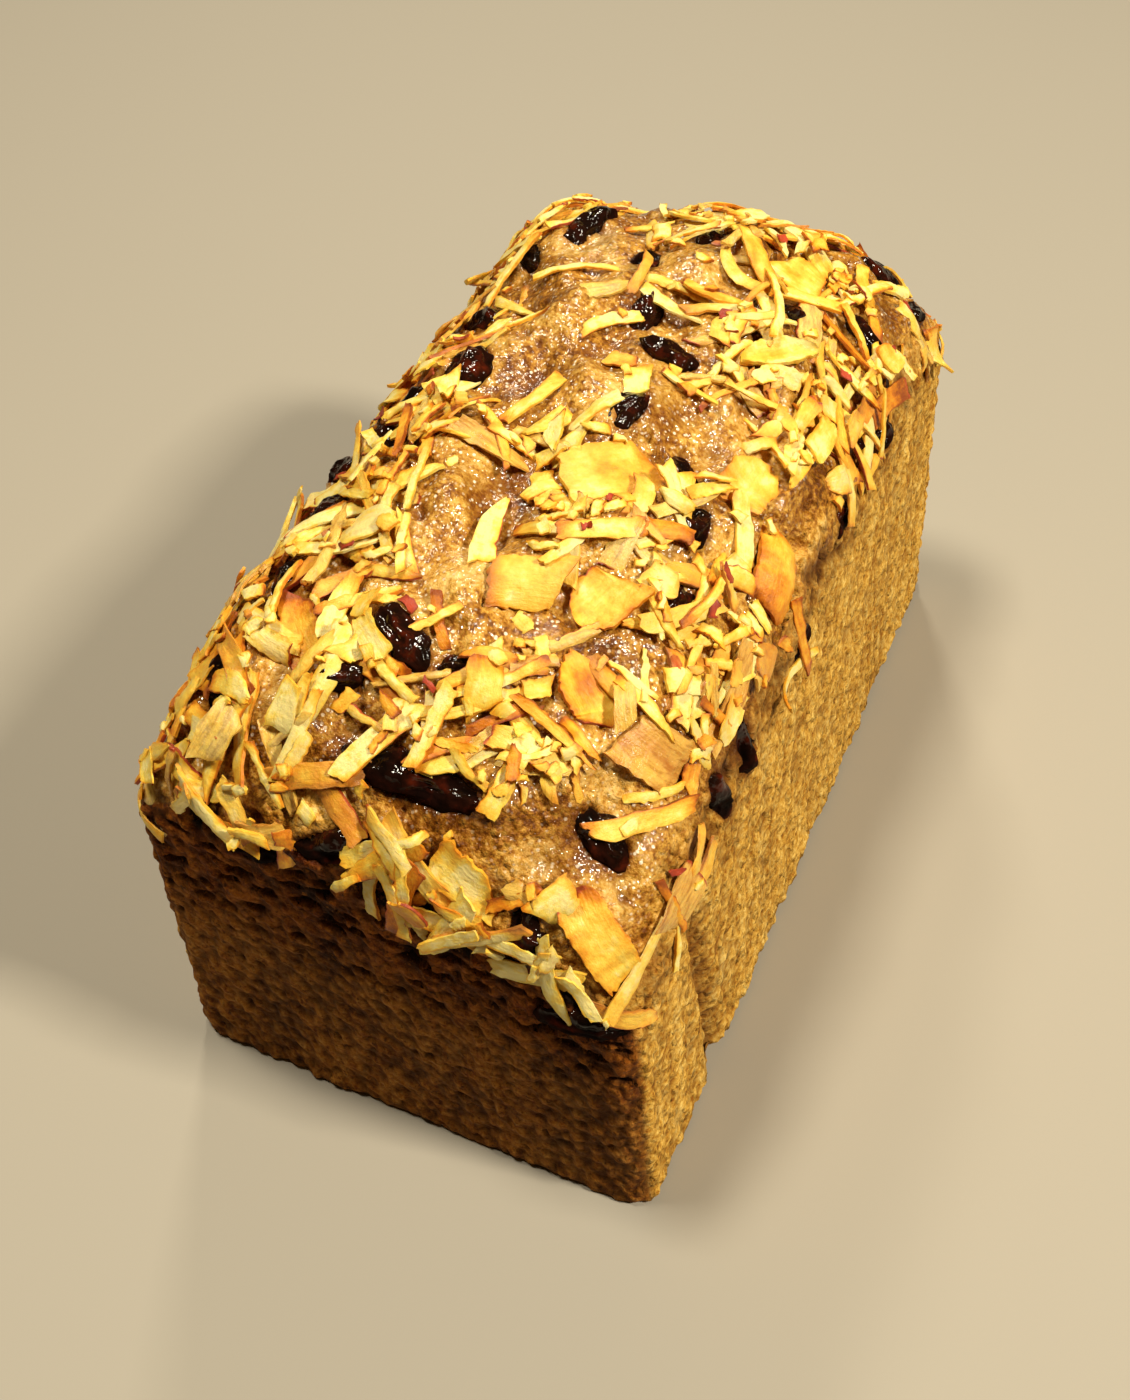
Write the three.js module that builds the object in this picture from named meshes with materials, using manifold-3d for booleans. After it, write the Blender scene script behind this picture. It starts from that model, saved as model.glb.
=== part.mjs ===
// A small banana bread, whole and uncut, as it comes out of a paper-lined loaf tin.
// Its crown is studded with raisins and with broad toasted flakes, all baked into the crust.
// Millimetres, +Z up, +Y along the loaf with the near end at -Y, resting on its flat bottom.

import * as THREE from "three";
import { mergeVertices } from "three/addons/utils/BufferGeometryUtils.js";
import Module from "manifold-3d";

const wasm = await Module();
wasm.setup();

// Driving dimensions of the loaf
const RIM_WIDTH = 90; // across the loaf at the rim, where the sides end and the crown starts
const RIM_LENGTH = 170;
const RIM_HEIGHT = 76;
const FOOT_WIDTH = 96; // the bottom kept the tin's size and the top shrank a little
const FOOT_LENGTH = 173;
const CROWN_RISE = 29; // crown above the rim along the middle of the loaf
const CORNER_RADIUS = 7; // upright corners
const SHOULDER_RADIUS = 6; // edge between the sides and the crown
const FOOT_RADIUS = 3;

// How the rim leaves a level line
const RIM_ARCH = 1.5; // higher halfway along than at the ends
const SUNK_CORNER = 16; // the near right corner rose less than the rest
const CORNER_DROP = 5; // every corner hangs below the rim

// The crown's section: high shoulders across, a longer flat stretch along
const CROWN_POWER_ACROSS = 2.3;
const CROWN_SHAPE_ACROSS = 0.6;
const CROWN_POWER_ALONG = 5;
const CROWN_SHAPE_ALONG = 0.7;

// Lumps of the crust: height, then the waves per millimetre across and along, then the phase
const LUMPS = [
  { height: 1.0, across: 1 / 38, along: 1 / 57, phase: 0.6 },
  { height: 0.9, across: -1 / 31, along: 1 / 44, phase: 2.1 },
  { height: 0.7, across: 1 / 19, along: -1 / 27, phase: 4.0 },
  { height: 0.6, across: 1 / 14, along: 1 / 23, phase: 1.2 },
];
const LUMP_FADE = 6; // how quickly the lumps fade towards the rim
const LUMP_AT_RIM = 0.25;
const CRUST_DEPTH = 0.3; // share of the height, from the top down, that the lumps move

// A shallow valley in the crown, left of the middle
const VALLEY = { across: -3, along: -28, width: 7, length: 30, depth: 2.5 };

// Grid of the faceted loaf, closer near its edges
const STEPS_ACROSS = 13;
const STEPS_ALONG = 24;
const STEPS_UP = 5;

// Space between pieces that touch
const GAP = 0.35;

// Raisins: where each lies, its length and its turn in degrees from across towards along.
// Places are measured over the loaf like a cloth laid on it: past the rim they go down its side.
const RAISINS = [
  // far end
  { across: -23, along: 53, length: 16, turn: 80 },
  { across: 2, along: 55, length: 10, turn: 130 },
  { across: -6, along: 44, length: 9, turn: 65 },
  { across: 31, along: 76, length: 12, turn: 10 },
  { across: 40, along: 72, length: 9, turn: 70 },
  { across: 34, along: 50, length: 11, turn: 160 },
  { across: -30, along: 42, length: 10, turn: 125 },
  // far middle
  { across: 1, along: 27, length: 12, turn: 95 },
  { across: 9, along: 17, length: 11, turn: 10 },
  { across: 15, along: 34, length: 9, turn: 30 },
  { across: 24, along: 40, length: 8, turn: 30 },
  { across: -24, along: 4, length: 13, turn: 80 },
  { across: -31, along: -4, length: 10, turn: 60 },
  { across: -32, along: 24, length: 11, turn: 165 },
  { across: -30, along: -14, length: 11, turn: 150 },
  { across: 41, along: 30, length: 8, turn: 105 },
  { across: 46, along: 39, length: 8, turn: 100 },
  // middle
  { across: 9, along: 0, length: 12, turn: 80 },
  { across: 21, along: -7, length: 10, turn: 125 },
  { across: 27, along: -15, length: 9, turn: 95 },
  { across: 29, along: -30, length: 9, turn: 55 },
  { across: 46, along: 14, length: 8, turn: 100 },
  { across: 49, along: -11, length: 9, turn: 120 },
  { across: -33, along: -31, length: 12, turn: 110 },
  { across: -38, along: -19, length: 10, turn: 175 },
  { across: -31, along: -49, length: 8, turn: 95 },
  // near end
  { across: -5, along: -57, length: 13, turn: 155 },
  { across: 5, along: -58, length: 9, turn: 5 },
  { across: -12, along: -65, length: 8, turn: 40 },
  { across: -32, along: -68, length: 12, turn: 80 },
  { across: 4, along: -73, length: 25, turn: 3 },
  { across: 32, along: -66, length: 12, turn: 175 },
  { across: 47, along: -36, length: 11, turn: 175 },
  { across: 46, along: -47, length: 11, turn: 10 },
  { across: -20, along: -88, length: 12, turn: 20 },
  { across: -7, along: -83, length: 14, turn: 30 },
  { across: 25, along: -82, length: 10, turn: 120 },
  { across: 35, along: -91, length: 15, turn: 25 },
];
const RAISIN_WIDTH = { least: 3.4, perLength: 0.19, most: 6.4 };
const RAISIN_FLATNESS = 0.72; // thickness against width
const RAISIN_SINK = 0.12; // share of the thickness that its middle lies below the crust
const RAISIN_RIBS = 4; // folds along a dried raisin
const RAISIN_RIB_DEPTH = 0.09;
const RAISIN_BEND = 0.1; // sideways bow against its length, left or right
const RAISIN_SIDES = 8;
const RAISIN_RINGS = 5;

// Broad toasted flakes, placed as the raisins are; curl lifts or lowers the two ends
const FLAKES = [
  { across: 11, along: -13, length: 17, width: 10, turn: 45, curl: -1.2 },
  { across: 31, along: 0, length: 13, width: 9, turn: 80, curl: -0.6 },
  { across: 39, along: -9, length: 15, width: 9, turn: 108, curl: -1.8 },
  { across: 19, along: -37, length: 11, width: 9, turn: 60, curl: 0.5 },
  { across: 8, along: -40, length: 12, width: 8, turn: 25, curl: 0.8 },
  { across: 20, along: 52, length: 11, width: 9, turn: 165, curl: -0.5 },
  { across: 25, along: 27, length: 15, width: 6, turn: 45, curl: 1.4 },
  { across: 22, along: -51, length: 12, width: 8, turn: 150, curl: -0.6 },
  { across: 35, along: -53, length: 13, width: 9, turn: 15, curl: -1.0 },
  { across: -23, along: -58, length: 13, width: 6, turn: 125, curl: -0.6 },
  { across: -37, along: -39, length: 15, width: 6, turn: 115, curl: -0.8 },
  { across: 36, along: -78, length: 16, width: 7, turn: 165, curl: -1.4 },
  { across: 15, along: -80, length: 12, width: 7, turn: 170, curl: -0.6 },
  { across: -37, along: 12, length: 11, width: 7, turn: 95, curl: 0.6 },
];
const FLAKE_THICKNESS = 1.7;
const FLAKE_LIFT = 0.5; // its middle above the crust
const FLAKE_TIP = 0.45; // how far the ends narrow
const FLAKE_RAGGED = { depth: 0.08, along: 5, across: 3 }; // unevenness of the outline
const FLAKE_THIN_EDGE = 0.35; // how much thinner the long edges are than the middle
const FLAKE_CUP = 0.3; // how far the long edges turn down
const FLAKE_LEVEL = 0.3; // share of the curl at which a flake meets the crust
const FLAKE_STEPS = { along: 4, across: 2 };

const CRUMB = new THREE.MeshStandardMaterial({ color: "#a8712f", roughness: 0.75, metalness: 0 });
const RAISIN = new THREE.MeshStandardMaterial({ color: "#241310", roughness: 0.3, metalness: 0 });
const TOASTED = new THREE.MeshStandardMaterial({ color: "#e3bb57", roughness: 0.55, metalness: 0 });

const clamp = THREE.MathUtils.clamp;
const smooth = (value) => THREE.MathUtils.smoothstep(value, 0, 1);
const mix = THREE.MathUtils.lerp;

// Height of the rim; s and t run from -1 to 1 across and along the loaf
function rimHeight(s, t) {
  const right = (s + 1) / 2;
  const near = (1 - t) / 2;
  const sunk = SUNK_CORNER * near ** 3 * right ** 1.5;
  return RIM_HEIGHT + RIM_ARCH * (1 - t * t) - sunk - CORNER_DROP * Math.abs(s * t) ** 8;
}

function crownRise(s, t) {
  const across = (1 - Math.abs(s) ** CROWN_POWER_ACROSS) ** CROWN_SHAPE_ACROSS;
  const along = (1 - Math.abs(t) ** CROWN_POWER_ALONG) ** CROWN_SHAPE_ALONG;
  return CROWN_RISE * across * along;
}

function crustLumps(x, y, s, t) {
  let height = 0;
  for (const lump of LUMPS) {
    const turns = lump.across * x + lump.along * y;
    height += lump.height * Math.sin(2 * Math.PI * turns + lump.phase);
  }
  const inside = 1 - Math.max(Math.abs(s), Math.abs(t));
  const valleyX = (x - VALLEY.across) / VALLEY.width;
  const valleyY = (y - VALLEY.along) / VALLEY.length;
  const valley = VALLEY.depth * Math.exp(-(valleyX ** 2) - valleyY ** 2);
  return height * clamp(inside * LUMP_FADE, LUMP_AT_RIM, 1) - valley;
}

// Bends the cube of half-size 1 into the loaf: first a block with rounded edges, then the
// taper from foot to rim, then the crown
function loafPoint(s, t, h) {
  const half = new THREE.Vector3(RIM_WIDTH / 2, RIM_LENGTH / 2, RIM_HEIGHT / 2);
  const edge = h > 0 ? SHOULDER_RADIUS : FOOT_RADIUS;
  const radius = new THREE.Vector3(CORNER_RADIUS, CORNER_RADIUS, edge);
  const point = new THREE.Vector3(s, t, h).multiply(half);
  const core = point.clone().clamp(half.clone().negate().add(radius), half.clone().sub(radius));
  const beyond = point.sub(core).divide(radius);
  const far = Math.max(beyond.length(), 1e-9);
  const block = core.add(beyond.divideScalar(far).multiply(radius));
  const across = clamp(block.x / half.x, -1, 1);
  const along = clamp(block.y / half.y, -1, 1);
  const up = (block.z + half.z) / (2 * half.z);
  const x = across * mix(FOOT_WIDTH / 2, half.x, up);
  const y = along * mix(FOOT_LENGTH / 2, half.y, up);
  const top = rimHeight(across, along) + crownRise(across, along);
  const crust = smooth(clamp((up - 1 + CRUST_DEPTH) / CRUST_DEPTH, 0, 1));
  return new THREE.Vector3(x, y, up * top + crust * crustLumps(x, y, across, along));
}

// The point at a place measured over the crown, and past the rim down the sides
function overLoaf(across, along) {
  const halfWidth = RIM_WIDTH / 2;
  const halfLength = RIM_LENGTH / 2;
  const pastSide = Math.max(Math.abs(across) - halfWidth, 0);
  const pastEnd = Math.max(Math.abs(along) - halfLength, 0);
  const s = clamp(across / halfWidth, -1, 1);
  const t = clamp(along / halfLength, -1, 1);
  return loafPoint(s, t, 1 - (2 * (pastSide + pastEnd)) / RIM_HEIGHT);
}

// Puts a piece on the faceted loaf: its length along `turn`, its thickness along the normal
function placeOnLoaf(mesh, place, lift) {
  const step = 2;
  const outside = 20;
  const { across, along } = place;
  const right = overLoaf(across + step, along).sub(overLoaf(across - step, along)).normalize();
  const ahead = overLoaf(across, along + step).sub(overLoaf(across, along - step));
  const normal = right.clone().cross(ahead).normalize();
  const length = right.applyAxisAngle(normal, THREE.MathUtils.degToRad(place.turn));
  const width = normal.clone().cross(length);
  mesh.quaternion.setFromRotationMatrix(new THREE.Matrix4().makeBasis(length, width, normal));
  const start = overLoaf(across, along).addScaledVector(normal, outside);
  const [hit] = new THREE.Raycaster(start, normal.clone().negate()).intersectObject(plainLoaf);
  mesh.position.copy(hit.point).addScaledVector(normal, lift);
  mesh.updateMatrixWorld();
}

function reshape(geometry, move) {
  const position = geometry.attributes.position;
  const point = new THREE.Vector3();
  for (let i = 0; i < position.count; i++) {
    point.fromBufferAttribute(position, i);
    move(point);
    position.setXYZ(i, point.x, point.y, point.z);
  }
  return geometry;
}

// One closed skin: drops the seams that a geometry class leaves open
function sewn(geometry) {
  geometry.deleteAttribute("normal");
  geometry.deleteAttribute("uv");
  const closed = mergeVertices(geometry, 1e-4);
  closed.computeVertexNormals();
  return closed;
}

function loafGeometry() {
  const block = new THREE.BoxGeometry(2, 2, 2, STEPS_ACROSS, STEPS_ALONG, STEPS_UP);
  const nearEdges = (value) => Math.sin((value * Math.PI) / 2);
  const bent = reshape(block, (p) => {
    p.copy(loafPoint(nearEdges(p.x), nearEdges(p.y), nearEdges(p.z)));
  });
  return sewn(bent);
}

// A raisin `grow` larger all round than its size, lying along X
function raisinGeometry(length, grow) {
  const { least, perLength, most } = RAISIN_WIDTH;
  const width = Math.min(least + perLength * length, most);
  const size = new THREE.Vector3(length / 2, width / 2, (width * RAISIN_FLATNESS) / 2);
  const ball = new THREE.SphereGeometry(1, RAISIN_SIDES, RAISIN_RINGS);
  ball.rotateZ(Math.PI / 2);
  const wrinkled = reshape(ball, (p) => {
    const around = Math.atan2(p.z, p.y);
    const fold = 1 + RAISIN_RIB_DEPTH * Math.cos(RAISIN_RIBS * around + length);
    const skin = p.clone().multiplyScalar(grow);
    p.multiply(size).multiply(new THREE.Vector3(1, fold, fold)).add(skin);
    const bow = (p.x / size.x) ** 2 - 0.5;
    p.y += RAISIN_BEND * length * bow * Math.sin(2 * length);
  });
  return sewn(wrinkled);
}

// A flake `grow` larger all round than its size, lying along X
function flakeGeometry(flake, grow) {
  const slab = new THREE.BoxGeometry(2, 2, 2, FLAKE_STEPS.along, FLAKE_STEPS.across, 1);
  const curved = reshape(slab, (p) => {
    const { x: u, y: v, z: w } = p;
    const tip = 1 - FLAKE_TIP * Math.abs(u) ** 3;
    const nick = Math.sin(FLAKE_RAGGED.along * u + FLAKE_RAGGED.across * v + flake.length);
    const ragged = 1 + FLAKE_RAGGED.depth * nick;
    const thickness = FLAKE_THICKNESS * (1 - FLAKE_THIN_EDGE * Math.abs(v));
    const bend = flake.curl * (u * u - FLAKE_LEVEL) - FLAKE_CUP * v * v;
    p.x = u * (flake.length / 2 + grow);
    p.y = v * ((flake.width / 2) * tip * ragged + grow);
    p.z = w * (thickness / 2 + grow) + bend;
  });
  return sewn(curved);
}

const plainLoaf = new THREE.Mesh(loafGeometry(), CRUMB);

function toSolid(geometry, matrix) {
  const placed = geometry.clone().applyMatrix4(matrix);
  const vertProperties = Float32Array.from(placed.attributes.position.array);
  const triVerts = Uint32Array.from(placed.index.array);
  return new wasm.Manifold(new wasm.Mesh({ numProp: 3, vertProperties, triVerts }));
}

function toGeometry(solid) {
  const { vertProperties, triVerts } = solid.getMesh();
  const geometry = new THREE.BufferGeometry();
  geometry.setAttribute("position", new THREE.BufferAttribute(vertProperties, 3));
  geometry.setIndex(new THREE.BufferAttribute(triVerts, 1));
  geometry.computeVertexNormals();
  return geometry;
}

function named(prefix, index) {
  return `${prefix}_${String(index + 1).padStart(2, "0")}`;
}

const toppings = [];
const beds = [];

// Adds a topping and keeps the slightly larger bed that it leaves in the crust
function addTopping(name, place, geometry, bed, material, lift) {
  const mesh = new THREE.Mesh(geometry, material);
  mesh.name = name;
  placeOnLoaf(mesh, place, lift);
  toppings.push(mesh);
  beds.push(toSolid(bed, mesh.matrixWorld));
}

RAISINS.forEach((raisin, index) => {
  const geometry = raisinGeometry(raisin.length, 0);
  const bed = raisinGeometry(raisin.length, GAP);
  geometry.computeBoundingBox();
  const lift = -RAISIN_SINK * (geometry.boundingBox.max.z - geometry.boundingBox.min.z);
  addTopping(named("raisin", index), raisin, geometry, bed, RAISIN.clone(), lift);
});

FLAKES.forEach((flake, index) => {
  const geometry = flakeGeometry(flake, 0);
  const bed = flakeGeometry(flake, GAP);
  addTopping(named("toasted_flake", index), flake, geometry, bed, TOASTED.clone(), FLAKE_LIFT);
});

const whole = toSolid(plainLoaf.geometry, plainLoaf.matrixWorld);
const bedded = beds.reduce((solid, bed) => solid.subtract(bed), whole);
const loaf = new THREE.Mesh(toGeometry(bedded), CRUMB);
loaf.name = "loaf";

const bread = new THREE.Group();
bread.add(loaf, ...toppings);

// The origin is under the middle of the whole bread's box, at the bottom
const middle = new THREE.Box3().setFromObject(bread, true).getCenter(new THREE.Vector3());
bread.position.set(-middle.x, -middle.y, 0);

export default bread;
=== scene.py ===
import math

import bpy
import numpy as np
from mathutils import Matrix, Vector
from mathutils.geometry import delaunay_2d_cdt


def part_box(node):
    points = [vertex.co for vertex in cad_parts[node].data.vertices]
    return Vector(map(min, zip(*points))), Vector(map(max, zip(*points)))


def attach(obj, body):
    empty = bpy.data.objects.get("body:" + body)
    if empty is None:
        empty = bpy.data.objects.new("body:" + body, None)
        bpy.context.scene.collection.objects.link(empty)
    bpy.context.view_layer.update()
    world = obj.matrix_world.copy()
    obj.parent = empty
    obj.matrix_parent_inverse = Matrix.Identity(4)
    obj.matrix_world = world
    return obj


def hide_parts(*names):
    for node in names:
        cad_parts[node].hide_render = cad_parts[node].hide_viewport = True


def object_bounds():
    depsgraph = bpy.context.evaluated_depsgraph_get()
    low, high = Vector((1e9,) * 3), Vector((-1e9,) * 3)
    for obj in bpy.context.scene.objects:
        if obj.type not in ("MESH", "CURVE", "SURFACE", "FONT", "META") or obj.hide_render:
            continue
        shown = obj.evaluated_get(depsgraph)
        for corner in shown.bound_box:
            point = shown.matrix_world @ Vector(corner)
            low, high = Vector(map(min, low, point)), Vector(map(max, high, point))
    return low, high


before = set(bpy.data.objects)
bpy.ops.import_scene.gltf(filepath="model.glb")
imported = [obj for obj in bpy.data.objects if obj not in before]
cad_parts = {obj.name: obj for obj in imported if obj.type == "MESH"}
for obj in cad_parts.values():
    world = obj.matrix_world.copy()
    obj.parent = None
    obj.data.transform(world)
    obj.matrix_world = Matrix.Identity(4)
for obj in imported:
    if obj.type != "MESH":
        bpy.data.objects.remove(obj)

# Looks of a small banana bread: a bare crumbly loaf with a damp browned crown, raisins,
# broad toasted flakes, and a scatter of toasted slivers, chips, skins and crumbs.
# Shapes are worked out in millimetres and become metres when their mesh is made.

CAD_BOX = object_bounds()
MM = 0.001
BODY = "root"

# ---- sizes from the frame

LOAF_LOW, LOAF_HIGH = (np.array(corner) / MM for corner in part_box("loaf"))
LOAF_SIZE = LOAF_HIGH - LOAF_LOW
LOAF_MIDDLE = (LOAF_LOW[:2] + LOAF_HIGH[:2]) / 2

# The same shape as the CAD loaf: main sizes as shares of its box, radii and heights in millimetres
FOOT_WIDTH = 1.006 * LOAF_SIZE[0]
FOOT_LENGTH = 1.0017 * LOAF_SIZE[1]
RIM_WIDTH = 0.9375 * FOOT_WIDTH
RIM_LENGTH = 0.9827 * FOOT_LENGTH
RIM_HEIGHT = 0.7057 * LOAF_SIZE[2]
CROWN_RISE = 0.2693 * LOAF_SIZE[2]
CORNER_RADIUS = 5
SHOULDER_RADIUS = 6
FOOT_RADIUS = 1.5
RIM_ARCH = 1.5
SUNK_CORNER = 16
CORNER_DROP = 5
CROWN_POWERS = (2.3, 5)
CROWN_SHAPES = (0.6, 0.7)
# Height of each lump wave, waves per millimetre across and along, phase
LUMPS = (
    (1.0, 1 / 38, 1 / 57, 0.6),
    (0.9, -1 / 31, 1 / 44, 2.1),
    (0.7, 1 / 19, -1 / 27, 4.0),
    (0.6, 1 / 14, 1 / 23, 1.2),
)
LUMP_FADE = 6
LUMP_AT_RIM = 0.25
CRUST_DEPTH = 0.3
VALLEY = dict(across=-3, along=-28, width=7, length=30, depth=2.5)


# ---- noise


def cell_random(cells, seed):
    """A repeatable number from 0 to 1 for each row of three whole numbers"""
    mask = 0xFFFFFFFF
    mixed = cells[..., 0] * 73856093 ^ cells[..., 1] * 19349663 ^ cells[..., 2] * 83492791
    mixed = (mixed ^ (seed * 49979687)) & mask
    for _ in range(2):
        mixed = ((mixed ^ (mixed >> 16)) * 0x45D9F3B) & mask
    return ((mixed ^ (mixed >> 16)) & 0xFFFFFF) / 0xFFFFFF


def noise(points, size, seed):
    """Smooth noise from -1 to 1 whose lumps are `size` millimetres apart"""
    scaled = np.asarray(points, float) / size + 0.37 * seed
    cell = np.floor(scaled).astype(np.int64)
    part = scaled - cell
    part = part * part * (3 - 2 * part)
    total = np.zeros(len(scaled))
    for corner in np.ndindex(2, 2, 2):
        weight = np.prod(np.where(corner, part, 1 - part), axis=1)
        total += weight * cell_random(cell + np.array(corner), seed)
    return 2 * total - 1


TURN_3D = np.array([[0.36, 0.48, -0.8], [-0.8, 0.6, 0.0], [0.48, 0.64, 0.6]])


def layered(points, size, seed, layers=3, keep=0.5):
    """Noise with finer layers on top, each turned so that no grid shows"""
    total = np.zeros(len(points))
    height = 1.0
    turned = np.asarray(points, float)
    for layer in range(layers):
        turned = turned @ TURN_3D.T
        total += height * noise(turned, size / 2**layer, seed + layer)
        height *= keep
    return total


def pit_distance(points, size, seed):
    """Distance to the nearest of points strewn `size` millimetres apart, as a share of it"""
    scaled = (np.asarray(points, float) @ TURN_3D.T) / size
    cell = np.floor(scaled).astype(np.int64)
    nearest = np.full(len(scaled), 9.0)
    for corner in np.ndindex(3, 3, 3):
        beside = cell + np.array(corner) - 1
        spot = beside + np.stack([cell_random(beside, seed + k) for k in range(3)], axis=1)
        nearest = np.minimum(nearest, ((scaled - spot) ** 2).sum(axis=1))
    return np.sqrt(nearest)


def smooth(value):
    """0 up to 0, 1 from 1 on, and an even swing between them"""
    value = np.clip(value, 0, 1)
    return value * value * (3 - 2 * value)


def bell(value):
    """1 at 0, falling to nearly nothing by 2 either side of it"""
    return np.exp(-(value**2))


def unit(vector):
    return vector / np.linalg.norm(vector)


def units(vectors):
    """Each row of vectors at length 1, or 0 where there is none"""
    return vectors / np.maximum(np.linalg.norm(vectors, axis=-1, keepdims=True), 1e-12)


# ---- the loaf's form


def rim_height(s, t):
    right, near = (s + 1) / 2, (1 - t) / 2
    sunk = SUNK_CORNER * near**3 * right**1.5
    return RIM_HEIGHT + RIM_ARCH * (1 - t * t) - sunk - CORNER_DROP * np.abs(s * t) ** 8


def crown_rise(s, t):
    shares = [
        (1 - np.abs(value) ** power) ** shape
        for value, power, shape in zip((s, t), CROWN_POWERS, CROWN_SHAPES)
    ]
    return CROWN_RISE * shares[0] * shares[1]


def crust_lumps(x, y, s, t):
    height = 0
    for lump, across, along, phase in LUMPS:
        height = height + lump * np.sin(2 * math.pi * (across * x + along * y) + phase)
    inside = 1 - np.maximum(np.abs(s), np.abs(t))
    valley_x = (x - VALLEY["across"]) / VALLEY["width"]
    valley_y = (y - VALLEY["along"]) / VALLEY["length"]
    valley = VALLEY["depth"] * np.exp(-(valley_x**2) - valley_y**2)
    return height * np.clip(inside * LUMP_FADE, LUMP_AT_RIM, 1) - valley


def loaf_point(cube):
    """Bends points of the cube of half-size 1 into the loaf; gives them in millimetres"""
    cube = np.asarray(cube, float)
    half = np.array([RIM_WIDTH, RIM_LENGTH, RIM_HEIGHT]) / 2
    edge = np.where(cube[:, 2] > 0, SHOULDER_RADIUS, FOOT_RADIUS)
    corner = np.full(len(cube), float(CORNER_RADIUS))
    radius = np.stack([corner, corner, edge], axis=1)
    point = cube * half
    core = np.clip(point, radius - half, half - radius)
    beyond = (point - core) / radius
    block = core + units(beyond) * radius
    s, t = np.clip(block[:, :2] / half[:2], -1, 1).T
    up = (block[:, 2] + half[2]) / (2 * half[2])
    x = s * (FOOT_WIDTH / 2 + (half[0] - FOOT_WIDTH / 2) * up)
    y = t * (FOOT_LENGTH / 2 + (half[1] - FOOT_LENGTH / 2) * up)
    top = rim_height(s, t) + crown_rise(s, t)
    crust = smooth((up - 1 + CRUST_DEPTH) / CRUST_DEPTH)
    z = up * top + crust * crust_lumps(x, y, s, t)
    return np.stack([x + LOAF_MIDDLE[0], y + LOAF_MIDDLE[1], z], axis=1)


def over_loaf(across, along):
    """The point at a place measured over the crown, and past the rim down the sides"""
    across, along = np.broadcast_arrays(np.asarray(across, float), np.asarray(along, float))
    half_width, half_length = RIM_WIDTH / 2, RIM_LENGTH / 2
    past = np.maximum(np.abs(across) - half_width, 0) + np.maximum(np.abs(along) - half_length, 0)
    s = np.clip(across / half_width, -1, 1)
    t = np.clip(along / half_length, -1, 1)
    cube = np.stack([s, t, 1 - 2 * past / RIM_HEIGHT], axis=-1)
    return loaf_point(cube.reshape(-1, 3)).reshape(across.shape + (3,))


def loaf_frame(across, along):
    """The point there with the directions right, ahead and out of the loaf"""
    step = 2
    points = over_loaf(
        [across, across + step, across - step, across, across],
        [along, along, along, along + step, along - step],
    )
    right = unit(points[1] - points[2])
    out = unit(np.cross(right, points[3] - points[4]))
    return points[0], right, np.cross(out, right), out


# ---- meshes


CRISP_ANGLE = math.radians(48)


def new_object(name, data):
    thing = bpy.data.objects.new(name, data)
    bpy.context.scene.collection.objects.link(thing)
    return thing


def make_mesh(name, vertices, faces, attributes=None, crisp=False):
    """A smooth-shaded object from points in millimetres, with values for each point"""
    mesh = bpy.data.meshes.new(name)
    mesh.from_pydata((np.asarray(vertices) * MM).tolist(), [], [list(f) for f in faces])
    mesh.update()
    mesh.shade_smooth()
    if crisp:
        mesh.set_sharp_from_angle(angle=CRISP_ANGLE)
    for key, values in (attributes or {}).items():
        layer = mesh.attributes.new(key, "FLOAT", "POINT")
        layer.data.foreach_set("value", np.asarray(values, np.float32))
    return new_object(name, mesh)


def add_piece(piece, material, node=None):
    """Gives a piece its material, rides it on the loaf's body and hides the CAD node it stands for"""
    piece.data.materials.append(material)
    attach(piece, BODY)
    if node:
        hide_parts(node)


def grid_faces(rows, columns, closed=False):
    """Quads between the rows of a grid of points, round the columns too if closed"""
    faces = []
    for i in range(rows - 1):
        for j in range(columns if closed else columns - 1):
            k = (j + 1) % columns
            faces.append((i * columns + j, i * columns + k, (i + 1) * columns + k, (i + 1) * columns + j))
    return faces


# ---- the loaf's surface

# Spacing of the points on the crown, up the sides and on the bottom
CROWN_SPACING = 0.84
SIDE_SPACING = 0.88
BOTTOM_SPACING = 3.0
# A point of the cube this far out lies on that face of it
ON_FACE = 0.999


def even_lines(start, axis, spacing):
    """Values from -1 to 1 along an axis of the cube, through `start`, that lie evenly on the loaf"""
    fine = np.linspace(-1, 1, 1601)
    cube = np.tile(np.array(start, float), (len(fine), 1))
    cube[:, axis] = fine
    steps = np.linalg.norm(np.diff(loaf_point(cube), axis=0), axis=1)
    length = np.concatenate([[0], np.cumsum(steps)])
    count = int(round(length[-1] / spacing))
    return np.interp(np.linspace(0, length[-1], count + 1), length, fine)


def loaf_cube():
    """The cube's points and faces that become the loaf, spaced evenly over it"""
    across = even_lines((0, 0, 1), 0, CROWN_SPACING)
    along = even_lines((0, 0, 1), 1, CROWN_SPACING)
    up = even_lines((1, 0, 0), 2, SIDE_SPACING)
    points, faces = [], []

    def add_side(axis, side, first, second):
        base = sum(len(p) for p in points)
        grid = np.stack(np.meshgrid(first, second, indexing="ij"), axis=-1).reshape(-1, 2)
        points.append(np.insert(grid, axis, side, axis=1))
        flip = (side < 0) != (axis == 1)
        for face in grid_faces(len(first), len(second)):
            face = tuple(base + i for i in face)
            faces.append(face if flip else face[::-1])

    add_side(2, 1, across, along)
    for side in (-1, 1):
        add_side(0, side, along, up)
        add_side(1, side, across, up)
    cube = np.concatenate(points)
    keys = np.round(cube * 1e7).astype(np.int64)
    _, first, merged = np.unique(keys, axis=0, return_index=True, return_inverse=True)
    merged = merged.ravel()
    faces = [tuple(merged[list(face)]) for face in faces]
    cube = cube[first]
    bottom, bottom_faces = loaf_bottom(cube, across, along)
    shift = len(cube)
    faces += [tuple(i if i >= 0 else shift - 1 - i for i in face) for face in bottom_faces]
    return np.concatenate([cube, bottom]), faces


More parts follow.
